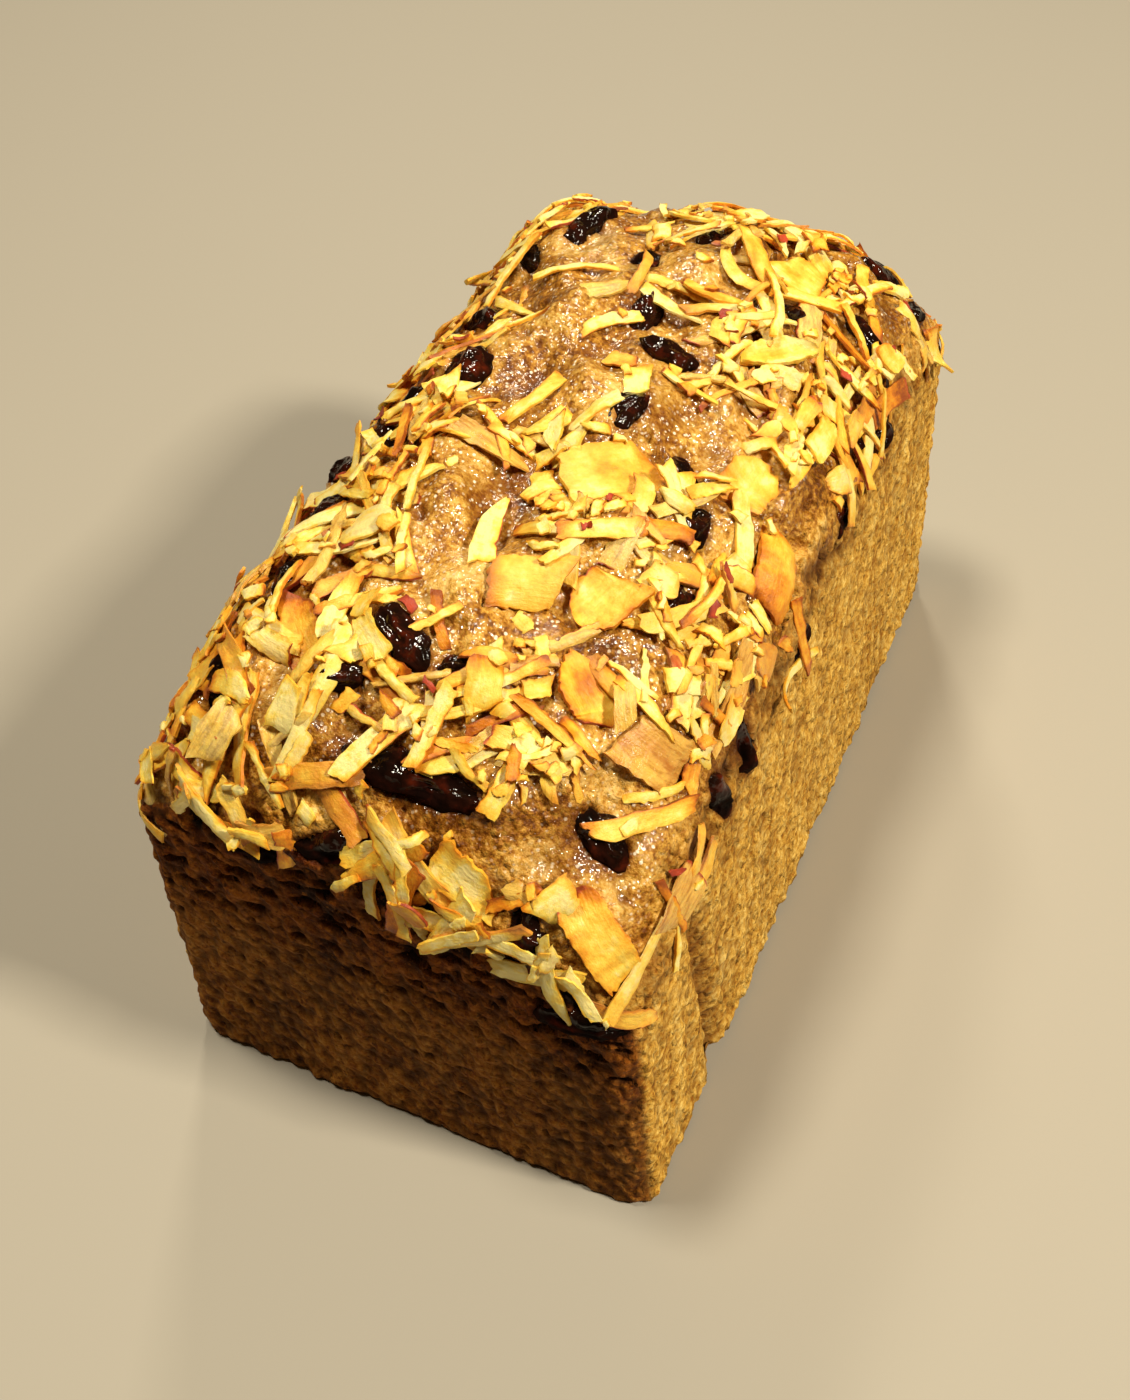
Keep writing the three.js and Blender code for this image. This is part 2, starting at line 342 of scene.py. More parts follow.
def loaf_bottom(cube, across, along):
    """Extra points and faces that close the bottom; -1, -2... stand for the extra points"""
    rows = np.nonzero(cube[:, 2] == -1)[0]
    where = {(round(cube[i, 0], 7), round(cube[i, 1], 7)): i for i in rows}
    ring = [(s, -1.0) for s in across[:-1]] + [(1.0, t) for t in along[:-1]]
    ring += [(s, 1.0) for s in across[:0:-1]] + [(-1.0, t) for t in along[:0:-1]]
    ring_points = [where[(round(s, 7), round(t, 7))] for s, t in ring]
    counts = [int(size / BOTTOM_SPACING) for size in (RIM_WIDTH, RIM_LENGTH)]
    s, t = np.meshgrid(*[np.linspace(-0.97, 0.97, count) for count in counts], indexing="ij")
    inner = np.stack([s.ravel(), t.ravel()], axis=1)
    flat = [Vector((a * RIM_WIDTH, b * RIM_LENGTH)) for a, b in ring + inner.tolist()]
    result = delaunay_2d_cdt(flat, [], [list(range(len(ring)))], 1, 1e-6)
    origin = [sources[0] for sources in result[3]]
    name = [ring_points[k] if k < len(ring) else len(ring) - k - 1 for k in origin]
    faces = [tuple(name[i] for i in reversed(face)) for face in result[2]]
    extra = np.concatenate([inner, -np.ones((len(inner), 1))], axis=1)
    return extra, faces


def point_normals(points, faces):
    """Normals of the points, averaged over their faces"""
    normals = np.zeros_like(points)
    for size in (3, 4):
        group = np.array([face for face in faces if len(face) == size])
        a, b, c = points[group[:, 0]], points[group[:, 1]], points[group[:, size - 1]]
        across = np.cross(b - a, c - a)
        for k in range(size):
            np.add.at(normals, group[:, k], across)
    return units(normals)


# Crust over the rim: how far it hangs down the sides and how uneven its edge is
CRUST_HANG = 1.4
CRUST_UNEVEN = 2.6
# How much shorter the crust is over the right rim
CRUST_SHORT = 2.6
# The crease left by a fold of the paper in the right side, and the band of tears in the near end
CREASE = dict(rim_along=-0.72, foot_along=-0.62, width=2.4, depth=2.4)
TEARS = dict(middle=13, spread=13, depth=1.7)
# The bulge just below the rim, and how far up the foot is torn
LIP = dict(middle=1.5, spread=3)
FOOT_TORN = 7
# How far below the rim the browning reaches, on the sides and on the near end, and how
# strong it is. The near end is also darkened all over with painted shade, most within
# its depth here under the rim
BROWNED = 7
NEAR_BROWNED_AND_SHADE = 30
RIM_BROWNED = 0.55
# The crumb's knobs and holes are a little taller than wide
UPRIGHT = (1, 1, 0.7)


def crust_relief(points):
    """Torn lumps of sticky batter and a few pits on the crown, with painted shade for its low places and pits
    """
    swell = layered(points, 8, 11, 3, 0.6)
    dough = layered(points, 3.4, 21, 2)
    fine = noise(points @ TURN_3D.T, 2.0, 23)
    pitted = smooth((0.2 - pit_distance(points, 8, 31)) / 0.12)
    hollow_shade = np.clip(0.1 - 0.5 * swell - 0.4 * dough, 0, 1) + pitted
    return 0.7 * swell + 0.5 * dough + 0.35 * fine - 1.2 * pitted, hollow_shade


def crumb_relief(points, wall):
    """Spongy crumb: knobs in columns that run up the sides, with small holes between them, and painted shade
    between the knobs and in the holes
    """
    columns = layered(points * (1, 1, 0.15), 4.6, 47, 2)
    knobs = smooth((0.85 - pit_distance(points * UPRIGHT, 2.0, 51)) / 0.8)
    fine = noise(points * (1, 1, 0.8), 1.6, 43)
    holes = smooth((0.17 - pit_distance(points * UPRIGHT, 5.5, 61)) / 0.1)
    move = 0.35 * columns * wall + 0.6 * (knobs - 0.6) + 0.35 * fine - 0.9 * holes
    move += 0.5 * layered(points, 3.4, 21, 2) * ~wall
    hollow_shade = np.clip(0.6 - 0.8 * knobs - 0.25 * columns - 0.2 * fine, 0, 1) + holes
    return move, hollow_shade


def tear_relief(points, cube, below):
    """Long sideways tears under the crust of the near end"""
    near = cube[:, 1] < -ON_FACE
    band = bell((below - TEARS["middle"]) / TEARS["spread"]) * near
    slits = pit_distance(points * (0.42, 1, 1.4), 3.4, 67)
    return band * smooth((0.36 - slits) / 0.14)


def crease_relief(points, cube, up, below):
    """The fold down the right side, near the sunk corner"""
    foot, rim = (CREASE[key] * RIM_LENGTH / 2 for key in ("foot_along", "rim_along"))
    line = foot + (rim - foot) * up + 1.2 * noise(points, 17, 71)
    fold = bell((points[:, 1] - line) / CREASE["width"]) * (cube[:, 0] > ON_FACE)
    return fold * smooth((below - 5) / 8)


def raisin_dent(points, raisin):
    """The dent that a raisin lies in, with a raised edge, and how damp the crust is round it"""
    reach = np.linalg.norm((points - raisin["middle"]) @ raisin["axes"].T / raisin["half"], axis=1)
    ring = bell((reach - 1.12) / 0.15) * (0.7 + 0.6 * noise(points, 3, 95))
    return 0.6 * ring - smooth((1.0 - reach) / 0.2), bell(np.maximum(reach - 1, 0) / 0.24)


def press_under(points, normals, move, flake):
    """Lowers the crust where it would stand through a broad flake"""
    local = (points + normals * move[:, None] - flake["middle"]) @ flake["axes"].T
    u, v = local[:, 0] / flake["half"][0], local[:, 1] / flake["half"][1]
    under = flake["curl"] * arch(u) + flake["form"]["cup"] * arch(v) - FLAKE_THICKNESS / 2
    covered = smooth((1.2 - np.maximum(np.abs(u), np.abs(v))) / 0.15) * (np.abs(local[:, 2]) < 6)
    return move - covered * np.maximum(local[:, 2] - under, 0)


def browning_and_shade(points, normals, cube, side, below):
    """How browned the crumb and crust are along the rim, plus painted shade over every face turned to the
    near end
    """
    near_end = smooth((-normals[:, 1] - 0.3) / 0.4)
    deep = BROWNED + (NEAR_BROWNED_AND_SHADE - BROWNED) * near_end + 3 * noise(points, 14, 97)
    near_top = smooth((-cube[:, 1] - 0.62) / 0.35) * (0.04 + 0.14 * smooth(0.5 + cube[:, 0]))
    patches = 0.4 + 0.6 * smooth(0.5 + 1.5 * noise(points, 5, 99))
    at_rim = np.where(side, smooth(1.1 - below / deep), smooth(1 + below / 6))
    browned_and_shade = np.maximum(RIM_BROWNED * patches * at_rim, near_top * ~side)
    # Painted shade: faces turned to the near end are darkened, most under the rim
    near_end_shade = np.where(side, 0.82 + 0.18 * smooth(1.3 - below / deep), 0.6 * smooth(1 + below / 4))
    return np.maximum(browned_and_shade, near_end * near_end_shade)


def loaf_relief(points, normals, cube, raisins, flakes):
    """How far each point of the loaf moves out, and what its surface is like"""
    up = (cube[:, 2] + 1) / 2
    side = np.maximum(np.abs(cube[:, 0]), np.abs(cube[:, 1])) > ON_FACE
    wall = np.abs(normals[:, 2]) < 0.7
    inward = (1 - np.abs(cube[:, :2])) * (RIM_WIDTH, RIM_LENGTH) / 2
    below = np.where(side, (1 - up) * RIM_HEIGHT, -inward.min(axis=1))
    hang = CRUST_HANG + CRUST_UNEVEN * layered(points, 12, 5) - CRUST_SHORT * smooth(cube[:, 0])
    crust = smooth((hang - below) / 2.5 + 0.5)
    crust = np.where(cube[:, 2] <= -ON_FACE, 0, crust)

    crust_move, crust_hollow_shade = crust_relief(points)
    crumb_move, crumb_pore_shade = crumb_relief(points, wall)
    tears = tear_relief(points, cube, below)
    fold = crease_relief(points, cube, up, below)
    move = crust * crust_move + (1 - crust) * crumb_move
    move -= TEARS["depth"] * tears + CREASE["depth"] * fold

    # The foot is torn and stands out a little where it left the paper
    foot = smooth((FOOT_TORN - points[:, 2]) / FOOT_TORN) * wall
    move += foot * (0.5 + 0.4 * noise(points, 2.1, 81) + 0.4 * noise(points, 7, 82))

    # The crust bulges a little over the rim
    lip = bell((below - LIP["middle"]) / LIP["spread"]) * (up > 0.5)
    torn = noise(points, 3.1, 92) + 0.6 * noise(points @ TURN_3D.T, 1.8, 93)
    move += lip * (0.25 + 0.4 * noise(points, 9, 91) + 0.8 * torn)

    damp = np.zeros(len(points))
    for raisin in raisins:
        dent, damp_here = raisin_dent(points, raisin)
        move += dent
        damp = np.maximum(damp, damp_here)
    for flake in flakes:
        move = press_under(points, normals, move, flake)
    # Painted shade: darker in the crust's low places and pits, between the crumb's knobs, in the tears, the
    # crease and the torn lip
    hollow_shade = crust * crust_hollow_shade + (1 - crust) * crumb_pore_shade + 1.1 * tears + 0.7 * fold
    hollow_shade += 1.5 * lip * np.clip(-torn - 0.1, 0, 1)
    wet = crust * smooth((normals[:, 2] - 0.45) / 0.35)
    browned_and_shade = browning_and_shade(points, normals, cube, side, below)
    looks = dict(crust=crust, hollow_shade=np.clip(hollow_shade, 0, 1), damp=damp, wet=wet, browned_and_shade=browned_and_shade)
    return move, looks


def make_loaf(raisins, flakes):
    cube, faces = loaf_cube()
    points = loaf_point(cube)
    normals = point_normals(points, faces)
    move, looks = loaf_relief(points, normals, cube, raisins, flakes)
    move = np.where(cube[:, 2] < -ON_FACE, -np.abs(move) * 0.6, move)
    points = points + normals * move[:, None]
    points[:, 2] = np.maximum(points[:, 2], 0)
    return make_mesh("loaf_crumb", points, faces, looks)


# ---- frames of the CAD nodes


def node_frame(name):
    """
    The middle of a CAD topping, its axes from longest to thinnest, its half-sizes, and how
    far its ends curl up. The long axis points to the right and the thin one out of the loaf.
    """
    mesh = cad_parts[name].data
    points = np.empty(len(mesh.vertices) * 3, np.float32)
    mesh.vertices.foreach_get("co", points)
    points = points.reshape(-1, 3).astype(float) / MM
    rough = points.mean(axis=0)
    _, _, axes = np.linalg.svd(points - rough, full_matrices=False)
    heart = np.array([*LOAF_MIDDLE, LOAF_SIZE[2] * 0.45])
    if (rough - heart) @ axes[2] < 0:
        axes[2] = -axes[2]
    if axes[0][0] < 0:
        axes[0] = -axes[0]
    axes[1] = np.cross(axes[2], axes[0])
    spread = (points - rough) @ axes.T
    half = (spread.max(axis=0) - spread.min(axis=0)) / 2
    centre = (spread.max(axis=0) + spread.min(axis=0)) / 2
    ends = np.abs(spread[:, 0] - centre[0]) > 0.9 * half[0]
    curl = spread[ends, 2].mean() - spread[~ends, 2].mean()
    return dict(name=name, middle=rough + centre @ axes, axes=axes, half=half, curl=1.2 * curl)


def nodes_named(prefix):
    return [node_frame(name) for name in sorted(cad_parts) if name.startswith(prefix)]


# ---- raisins

RAISIN_ROUND = 62
RAISIN_RINGS = 56
RAISIN_SINK = 0.2
RAISIN_SEED = 300
# How much larger than the CAD raisin it is made, along its axes, before its skin folds in
RAISIN_SWELL = (1.04, 1.1, 1.2)
# Skin folds: how far apart they are, how much longer along the raisin, and their depth
RAISIN_FOLDS = ((2.1, 2.6, 0.5), (1.2, 2.0, 0.24))


def make_raisin(raisin, index, material):
    """A dried raisin: long folds with finer wrinkles between them and pinched ends"""
    rings = np.linspace(0, math.pi, RAISIN_RINGS + 2)[1:-1]
    turns = np.linspace(0, 2 * math.pi, RAISIN_ROUND, endpoint=False)
    ring, turn = (grid.ravel() for grid in np.meshgrid(rings, turns, indexing="ij"))
    ball = np.stack([-np.cos(ring), np.sin(ring) * np.cos(turn), np.sin(ring) * np.sin(turn)], 1)
    ball = np.concatenate([ball, [[-1, 0, 0], [1, 0, 0]]])
    half = raisin["half"] * RAISIN_SWELL
    seed = RAISIN_SEED + 17 * index
    place = ball * half
    warp = 0.5 * np.stack([noise(place, 2.2, seed + k) for k in range(3)], axis=1)
    folds = np.zeros(len(ball))
    for k, (spacing, stretch, depth) in enumerate(RAISIN_FOLDS):
        lengthened = (place + warp) / (stretch, 1, 1)
        folds += depth * (1 - 3 * np.abs(noise(lengthened, spacing, seed + 5 + k)))
    dent = 0.7 * noise(place, 4.5, seed + 9)
    local = place + ball * (0.6, 1, 1) * (folds + dent)[:, None]
    local[:, 1] += 0.12 * half[0] * (ball[:, 0] ** 2 - 0.4) * math.sin(seed)
    points = raisin["middle"] - RAISIN_SINK * raisin["axes"][2] + local @ raisin["axes"]
    faces = [face[::-1] for face in grid_faces(RAISIN_RINGS, RAISIN_ROUND, closed=True)]
    tip = RAISIN_RINGS * RAISIN_ROUND
    last_ring = tip - RAISIN_ROUND
    for j in range(RAISIN_ROUND):
        k = (j + 1) % RAISIN_ROUND
        faces += [(tip, k, j), (tip + 1, last_ring + j, last_ring + k)]
    # Painted shade deep in the skin's folds, and how far each point faces up
    looks = dict(fold_shade=smooth(0.4 - 1.2 * folds), up=(ball @ raisin["axes"])[:, 2])
    piece = make_mesh(f"{raisin['name']}_skin", points, faces, looks)
    add_piece(piece, material, raisin["name"])


# ---- toasted slices

# Places of the columns of points across a slice; the outer two stand close for a crisp edge
SHRED_COLUMNS = (-1, -0.6, 0.6, 1)
CHIP_COLUMNS = (-1, -0.8, -0.3, 0.3, 0.8, 1)
STRIP_COLUMNS = (-1, -0.85, -0.4, 0, 0.4, 0.85, 1)
BROAD_COLUMNS = (-1, -0.9, -0.65, -0.35, 0, 0.35, 0.65, 0.9, 1)
# Range of the power by which pointed and blunt ends narrow, and the least half-width that is
# left, as a share of the slice's width
POINTED = (1.4, 2.6)
BLUNT = (4, 12)
LEAST_TIP = 0.1


def arch(place):
    """Height of a bend of 1 at places from -1 to 1 along it, about its own level"""
    return place**2 - 0.35


def joined(parts):
    """One set of points, faces and looks from many"""
    shift = 0
    faces = []
    for points, part_faces, _ in parts:
        faces += [tuple(i + shift for i in face) for face in part_faces]
        shift += len(points)
    looks = {key: np.concatenate([part[2][key] for part in parts]) for key in parts[0][2]}
    return np.concatenate([part[0] for part in parts]), faces, looks


def ragged_line(rng, count, amount):
    """How far a broken edge strays from its line, in millimetres: a drift and small steps"""
    drift = np.cumsum(rng.normal(0, amount, count))
    steps = rng.normal(0, 1.2 * amount, count)[np.sort(rng.integers(0, count, count))]
    return drift - drift.mean() + steps + rng.normal(0, 0.7 * amount, count)


def slab_faces(rows, columns):
    """Faces of two grids of points, upper then under, and of the wall between their edges"""
    count = rows * columns
    upper = grid_faces(rows, columns)
    under = [tuple(i + count for i in face[::-1]) for face in upper]
    edge = list(range(columns))
    edge += [i * columns + columns - 1 for i in range(1, rows)]
    edge += [(rows - 1) * columns + j for j in range(columns - 2, -1, -1)]
    edge += [i * columns for i in range(rows - 2, 0, -1)]
    wall = [(a, b, b + count, a + count) for a, b in zip(edge, edge[1:] + edge[:1])]
    return upper + under + wall


def slice_edges(rng, u, width, tips, leans, ragged):
    """
    How far the two edges of a slice lie from its middle line at places `u` along it.
    `tips` are the shares of its width left at the ends, `leans` which edge each loss is from.
    """
    edges = []
    for side in (-1, 1):
        share = np.ones(len(u))
        for end, tip, lean in zip((-1, 1), tips, leans):
            power = rng.uniform(*(POINTED if tip < 0.5 else BLUNT))
            lost = (1 - tip) * (1 + side * lean)
            share -= lost * np.clip(end * u, 0, 1) ** power
        edges.append(side * (width / 2 * share + ragged_line(rng, len(u), ragged)))
    middle = (edges[0] + edges[1]) / 2
    half = np.maximum((edges[1] - edges[0]) / 2, LEAST_TIP * width)
    return middle - half, middle + half


def slice_shape(rng, size, columns, rows, curl, cup, bow=0.0, twist=0.0, tips=None, rind=None, ragged=0.065):
    """
    A broken slice lying along X: flat faces, straight ragged edges, slanted cut ends.
    `rind` is the part that keeps its dark skin.
    """
    length, width, thickness = size
    ends = np.linspace(-1, 1, rows)
    u = (np.sign(ends) * np.abs(ends) ** 0.85)[:, None]
    v = np.array(columns, float)[None, :]
    tips = random_tips(rng) if tips is None else tips
    leans = rng.choice([-1, -0.5, 0, 0.5, 1], 2)
    left, right = slice_edges(rng, u[:, 0], width, tips, leans, ragged)
    y = left[:, None] + (right - left)[:, None] * (v + 1) / 2
    slant = np.where(u < 0, *np.clip(rng.normal(0, 0.45, 2), -0.9, 0.9))
    x = u * length / 2 + slant * y * np.abs(u) ** 3
    for end in (0, -1):
        x[end] += rng.normal(0, min(0.05 * width, 0.25), v.size)
    flat = np.stack([x.ravel(), y.ravel(), np.zeros(x.size)], axis=1)
    wave = 0.2 * noise(flat + 50 * rng.random(), 2.6, 9).reshape(x.shape)
    z = curl * arch(u) + cup * arch(v) + wave
    border = np.maximum(np.abs(v), np.abs(u)) ** 6
    half = thickness / 2 * (1 - 0.35 * border) * (1 + 0.1 * rng.normal(size=(rows, 1)))
    turn = twist * u
    layers = []
    for side in (1, -1):
        height = z + side * half
        across = y * np.cos(turn) - height * np.sin(turn) + bow * arch(u)
        layers.append(np.stack([x, across, y * np.sin(turn) + height * np.cos(turn)], axis=-1))
    points = np.concatenate([layer.reshape(-1, 3) for layer in layers])
    points += 0.03 * rng.normal(size=points.shape)
    apart = rng.uniform(0, 500)
    looks = dict(
        edge=border * (0.65 + 0.35 * np.sign(bow) * v),
        end=u**2 * np.sign(u) * np.ones_like(v),
        middle=np.exp(-(u**2 + v**2) / 0.3),
        skin=rind_share(u, v, rind),
    )
    looks = {key: np.tile(values.ravel(), 2) for key, values in looks.items()}
    looks["grain_along"] = points[:, 0] + apart
    looks["grain_across"] = points[:, 1] + 0.7 * points[:, 2] + apart
    return points, slab_faces(rows, v.size), looks


def random_tips(rng):
    """Mostly blunt ends, some narrowed and a few pointed"""
    return rng.choice([0.95, 0.75, 0.25], 2, p=[0.68, 0.22, 0.1]) + rng.normal(0, 0.06, 2)


RINDS = ("low_end", "high_end", "left", "right")


def rind_share(u, v, rind):
    """1 where a slice keeps its dark skin: on one end, on one long edge, or nowhere"""
    places = dict(zip(RINDS, (u < -0.99, u > 0.99, v < -0.99, v > 0.99)))
    return places.get(rind, False) * np.ones((u.size, v.size))


def random_rind(rng, share):
    return RINDS[rng.integers(4)] if rng.random() < share else None


# How much batter slices have soaked up and how common each is; how deep a slice sinks in,
# and how much deeper when soaked
SOAKS = (0.0, 0.35, 1.0)
SOAK_SHARES = (0.7, 0.2, 0.1)
SINK = 0.25
SOAKED_SINK = 0.45
# How toasted slices are, from ivory 0 to brown 1, and how common each is
TOASTS = (-0.02, 0.14, 0.32, 0.54)
TOAST_SHARES = (0.35, 0.37, 0.22, 0.06)


def add_tones(part, rng, toast=None, end_toast=None, spot=0.0, soaked=0.0):
    """How toasted a slice is: all over, more at its edges, in its middle and towards one end"""
    points, _, looks = part
    if toast is None:
        toast = rng.choice(TOASTS, p=TOAST_SHARES) + rng.normal(0, 0.05)
    if end_toast is None:
        end_toast = rng.choice([0, 0.2, 0.45], p=[0.45, 0.35, 0.2]) * rng.choice([-1, 1])
    end = np.clip(looks.pop("end") * np.sign(end_toast), 0, 1) * abs(end_toast)
    drift = 0.2 * layered(points, 4, 700, 2)
    border = looks.pop("edge") * rng.uniform(0.25, 0.7)
    middle = looks.pop("middle") * spot
    looks["toast"] = np.clip(toast + border + end + middle + drift, 0, 1)
    looks["soaked"] = np.full(len(points), float(soaked))


# ---- resting the toppings

# The grid of ground heights: how far it reaches from the middle, and its step
REACH_ACROSS = 62
REACH_ALONG = 105
PILE_STEP = 0.6
# Slopes that a slice can lie at, along and across it, and what each counts as in height
TILTS = np.linspace(-0.5, 0.5, 15)
ROLLS = np.linspace(-0.4, 0.4, 7)
EFFORT = 0.6 * np.abs(TILTS)[:, None] + 0.4 * np.abs(ROLLS)[None, :]
# How much of the loaf's own bend a slice takes on, and the widest gap under it: so much,
# and a share of its length
DRAPE = 0.7
MOST_GAP = 2.3
GAP_SHARE = 0.05
# The least grid points under a slice, how guarded the ground under it may be on average,
# and how much raisins are guarded
LEAST_UNDER = 4
MOST_COVER = 0.2
RAISIN_GUARD = 0.65
# How far past the CAD model's box the looks may reach
BOX_MARGIN = np.array([2.4, 4.0, 2.6])
LOW_LIMIT = np.array(CAD_BOX[0]) / MM - BOX_MARGIN
HIGH_LIMIT = np.array(CAD_BOX[1]) / MM + BOX_MARGIN


class Pile:
    """How high the crust's lumps and the toppings stand over the smooth loaf, on a grid"""

    def __init__(self):
        self.across = np.arange(-REACH_ACROSS, REACH_ACROSS, PILE_STEP)
        self.along = np.arange(-REACH_ALONG, REACH_ALONG, PILE_STEP)
        self.points = over_loaf(*np.meshgrid(self.across, self.along, indexing="ij"))
        self.normals = units(np.cross(*np.gradient(self.points, axis=(0, 1))))
        lumps, _ = crust_relief(self.points.reshape(-1, 3))
        self.height = lumps.reshape(self.points.shape[:2])
        self.guarded = np.zeros(self.height.shape)

    def window(self, across, along, reach):
        rows = slice(*np.searchsorted(self.across, [across - reach, across + reach]))
        columns = slice(*np.searchsorted(self.along, [along - reach, along + reach]))
        return rows, columns

    def raise_to(self, window, covered, top):
        self.height[window] = np.where(covered, np.maximum(self.height[window], top), self.height[window])

    def stamp_node(self, node, guard):
        """
        Raises the pile by a topping whose middle and axes are known. `guard` from 0 to 1 is
        how much it keeps others from being laid over it.
        """
        distance = ((self.points - node["middle"]) ** 2).sum(axis=-1)
        i, j = np.unravel_index(distance.argmin(), distance.shape)
        window = self.window(self.across[i], self.along[j], node["half"][0] + 2)
        local = (self.points[window] - node["middle"]) @ node["axes"].T / node["half"]
        inside = 1 - local[..., 0] ** 2 - local[..., 1] ** 2
        top = node["half"][2] * (np.sqrt(np.maximum(inside, 0)) - local[..., 2])
        self.raise_to(window, inside > 0, top)
        here = (inside > 0) & (np.abs(local[..., 2]) < 3)
        self.guarded[window] = np.maximum(self.guarded[window], guard * here)

    def rest(self, across, along, turn, size, curl, sink):
        """
        Lays a slice there as low as it goes, bent a little to the ground under it, and
        raises the pile by it. Gives its middle, axes and curl, or None if it can't lie there.
        """
        length, width, thickness = size
        origin, right, ahead, out = loaf_frame(across, along)
        lengthwise = right * math.cos(turn) + ahead * math.sin(turn)
        axes = np.stack([lengthwise, np.cross(out, lengthwise), out])
        window = self.window(across, along, length / 2 + 3)
        local = (self.points[window] - origin) @ axes.T
        facing = self.normals[window] @ out
        x, y, bare = local[..., 0], local[..., 1], local[..., 2]
        rise = bare + self.height[window] * facing
        under = (np.abs(x) < length / 2) & (np.abs(y) < width * 0.4) & (facing > 0.1)
        if under.sum() < LEAST_UNDER or self.guarded[window][under].mean() > MOST_COVER:
            return None
        x_under, y_under = x[under], y[under]
        bend = np.polyfit(x_under, bare[under], 2)[0] * (length / 2) ** 2
        curl = curl + DRAPE * min(bend, 0)
        sag = curl * arch(2 * x / length)
        need = (rise - sag)[under] + thickness / 2
        slopes = TILTS[:, None, None] * x_under + ROLLS[None, :, None] * y_under
        level = (need - slopes).max(axis=-1) + EFFORT
        tilt_index, roll_index = np.unravel_index(level.argmin(), level.shape)
        tilt, roll = TILTS[tilt_index], ROLLS[roll_index]
        height = (need - tilt * x_under - roll * y_under).max() - sink
        gap = height + tilt * x_under + roll * y_under - need
        if gap.max() > MOST_GAP + GAP_SHARE * length:
            return None
        first = unit(axes[0] + tilt * axes[2])
        third = unit(axes[2] - tilt * axes[0] - roll * axes[1])
        second = unit(np.cross(third, first))
        middle = origin + out * height
        if not inside_box(middle, first * length / 2, third * thickness / 2 + third * 0.65 * curl):
            return None
        top = height + tilt * x + roll * y + sag + thickness / 2 - bare
        self.raise_to(window, (np.abs(x) < length / 2) & (np.abs(y) < width / 2), top)
        return middle, np.stack([first, second, third]), curl


def inside_box(middle, half_length, end_rise):
    """Whether both ends of a slice stay in the box that the looks may fill"""
    ends = np.stack([middle - half_length, middle + half_length]) + end_rise
    return ((LOW_LIMIT < ends) & (ends < HIGH_LIMIT)).all()


# Bare and heaped places on the crown, as shares of the rim's half-width and half-length:
# the middle, the half-sizes across and along, and the turn if there is one
BARE_PATCHES = (
    (-0.11, -0.39, 0.19, 0.22, 0.1),
    (0.07, -0.55, 0.12, 0.10),
    (-0.22, 0.09, 0.26, 0.18),
    (-0.33, 0.45, 0.20, 0.26, 0.1),
    (-0.36, 0.86, 0.13, 0.13),
    (0.44, 0.05, 0.18, 0.09, 0.3),
    (0.98, 0.00, 0.16, 0.10),
    (1.00, -0.52, 0.10, 0.14),
    (-0.49, -0.84, 0.12, 0.05),
    (0.80, -0.85, 0.18, 0.06),
    (0.42, -0.88, 0.20, 0.05),
    (0.12, 0.24, 0.14, 0.08),
)
HEAPS = (
    (0.36, -0.29, 0.28, 0.20),
    (0.78, -0.42, 0.18, 0.28),
    (-0.50, -0.62, 0.38, 0.24),
    (-0.62, -0.86, 0.34, 0.14),
    (0.62, 0.42, 0.34, 0.30),
    (0.25, 0.80, 0.35, 0.16),
    (0.20, -0.76, 0.40, 0.12),
    (0.56, -0.62, 0.30, 0.10),
    (-0.10, -0.95, 0.60, 0.10),
    (0.60, -0.98, 0.34, 0.08),
    (-0.62, -0.22, 0.24, 0.20),
    (-0.78, 0.72, 0.30, 0.30),
)
# How soft a patch's edge is, how often a topping lies where there is no patch, and how bare
# a bare patch is
PATCH_EDGE = 0.35
BASE_DENSITY = 0.36
BARENESS = 0.95
# How far past the rim the toppings thin out, on the sides and the far end and on the near end
SIDE_FADE = 4.0
NEAR_FADE = 2.2


def patch_share(s, t, at_s, at_t, half_s, half_t, turn=0.0):
    """From 0 outside an oval patch to 1 inside it"""
    x, y = s - at_s, t - at_t
    u = (x * math.cos(turn) + y * math.sin(turn)) / half_s
    v = (-x * math.sin(turn) + y * math.cos(turn)) / half_t
    return float(smooth((1 - math.hypot(u, v)) / PATCH_EDGE + 0.5))


def scatter_density(across, along):
    """How likely a topping lies there, from 0 to 1"""
    s, t = across / (RIM_WIDTH / 2), along / (RIM_LENGTH / 2)
    past_side, past_end = (abs(s) - 1) * RIM_WIDTH / 2, (abs(t) - 1) * RIM_LENGTH / 2
    if past_side > 0 and past_end > 0:
        return 0
    density = BASE_DENSITY
    for heap in HEAPS:
        density += (1 - BASE_DENSITY) * patch_share(s, t, *heap)
    for patch in BARE_PATCHES:
        density *= 1 - BARENESS * patch_share(s, t, *patch)
    near_fade = NEAR_FADE * (0.4 + 0.6 * smooth(2 * s + 0.5))
    side_fade = SIDE_FADE * (1 if s < 0 else 0.5)
    fade = near_fade if past_end > 0 and t < 0 else side_fade
    return min(density, 1) * math.exp(-((max(past_side, past_end, 0) / fade) ** 2))


def random_place(rng):
    """A place over the loaf, drawn by the density"""
    while True:
        across = rng.uniform(-1, 1) * (RIM_WIDTH / 2 + 2 * SIDE_FADE)
        along = rng.uniform(-1, 1) * (RIM_LENGTH / 2 + 2 * NEAR_FADE)
        if rng.random() < scatter_density(across, along):
            return across, along


def drawn_length(rng, middle, spread, least, most):
    return float(np.clip(rng.normal(middle, spread), least, most))


def shred_size(rng):
    return drawn_length(rng, 10.5, 3.6, 5, 18), rng.uniform(1.1, 2.3), rng.uniform(0.5, 0.8)


def strip_size(rng):
    return drawn_length(rng, 12.8, 3.2, 6.5, 19), rng.uniform(1.8, 4.2), rng.uniform(0.5, 0.85)


